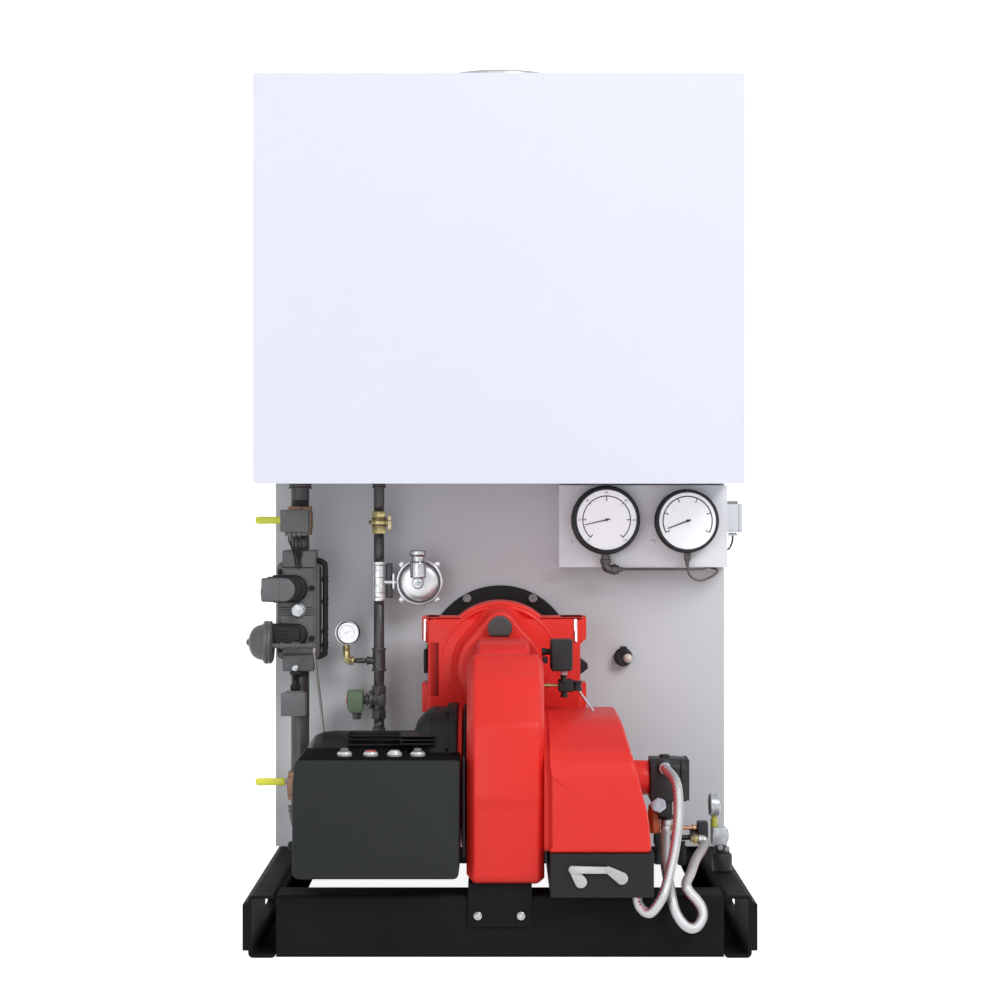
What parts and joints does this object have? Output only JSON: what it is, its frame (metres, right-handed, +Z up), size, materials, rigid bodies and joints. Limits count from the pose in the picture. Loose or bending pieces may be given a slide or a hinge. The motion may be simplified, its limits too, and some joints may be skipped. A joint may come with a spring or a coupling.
{
  "type": "industrial boiler",
  "caption": "Packaged floor-standing boiler on a steel skid, with a forced-draught burner, a gas line, an oil pump and filter, dial gauges and an upper control cabinet.",
  "frame": {"origin": "on the floor, in the middle of the width and of the whole length from the front of the burner to the rear nozzle flanges", "axes": "+Z up, -Y out of the front where the burner is, +X to the right as seen from the front"},
  "size_m": [0.98, 2.072, 1.836],
  "materials": {
    "skid_paint": "satin black paint",
    "pan_paint": "matt grey paint",
    "casing_paint": "satin light grey paint",
    "cabinet_paint": "satin cool white paint",
    "flue_steel": "spun steel",
    "black_iron": "black iron pipe and fittings",
    "nozzle_iron": "primed steel flanges",
    "bronze": "dull bronze",
    "brass": "bright brass",
    "lever_grip": "yellow-green vinyl",
    "valve_grey": "dark grey cast alloy",
    "switch_grey": "grey enamel",
    "tube_grey": "dull small tube",
    "chrome": "bright plated",
    "coil_green": "green enamel",
    "burner_red": "glossy red paint",
    "burner_black": "black cast iron",
    "box_plastic": "charcoal moulding",
    "motor_black": "satin black paint",
    "link_grey": "light grey plated",
    "gauge_black": "black enamel",
    "dial_white": "white dial",
    "hose_braid": "braided hose"
  },
  "bodies": {
    "boiler": {"rail_left": "skid_paint", "rail_right": "skid_paint", "cross_member_front": "skid_paint", "cross_member_rear": "skid_paint", "floor_pan": "pan_paint", "front_panel": "casing_paint", "side_panel_left": "casing_paint", "side_panel_right": "casing_paint", "rear_panel": "casing_paint", "top_panel": "casing_paint", "flue_collar": "flue_steel", "flue_flange": "flue_steel", "supply_nozzle": "nozzle_iron", "return_nozzle": "nozzle_iron", "cabinet_body": "cabinet_paint", "cabinet_door": "cabinet_paint", "gauge_plate": "cabinet_paint", "temperature_gauge": "gauge_black", "pressure_gauge": "gauge_black", "gauge_tubes": "black_iron", "side_sensor_box": "casing_paint", "sight_port": "gauge_black", "gas_pipe": "black_iron", "gas_cock_upper": "bronze", "gas_cock_lower": "bronze", "gas_valve": "valve_grey", "valve_actuator": "valve_grey", "gas_regulator": "valve_grey", "pressure_switches": "switch_grey", "impulse_tube": "tube_grey", "pilot_pipe": "black_iron", "pilot_cock": "brass", "pilot_regulator": "chrome", "pilot_gauge": "dial_white", "pilot_solenoid": "coil_green", "burner_flange": "burner_black", "burner_casing": "burner_red", "fan_scroll": "burner_red", "air_intake": "burner_red", "intake_base": "box_plastic", "damper_linkage": "link_grey", "fan_motor": "motor_black", "control_box": "box_plastic", "control_buttons": "chrome", "servomotor": "gauge_black", "oil_pump": "motor_black", "oil_filter": "black_iron", "hose_supply": "hose_braid", "hose_return": "hose_braid", "burner_bracket": "skid_paint"},
    "upper_lever": {"upper_handle": "lever_grip"},
    "lower_lever": {"lower_handle": "lever_grip"},
    "pilot_key": {"pilot_handle": "brass"}
  },
  "joints": [
    {"name": "upper_lever_turn", "type": "hinge", "parent": "boiler", "child": "upper_lever", "pos_m": [-0.391, -0.484, 0.765], "axis": [0, -1, 0], "range_deg": [0, 90]},
    {"name": "lower_lever_turn", "type": "hinge", "parent": "boiler", "child": "lower_lever", "pos_m": [-0.391, -0.484, 0.247], "axis": [0, -1, 0], "range_deg": [0, 90]},
    {"name": "pilot_key_turn", "type": "hinge", "parent": "boiler", "child": "pilot_key", "pos_m": [-0.213, -0.494, 0.761], "axis": [1, 0, 0], "range_deg": [0, 90]}
  ]
}
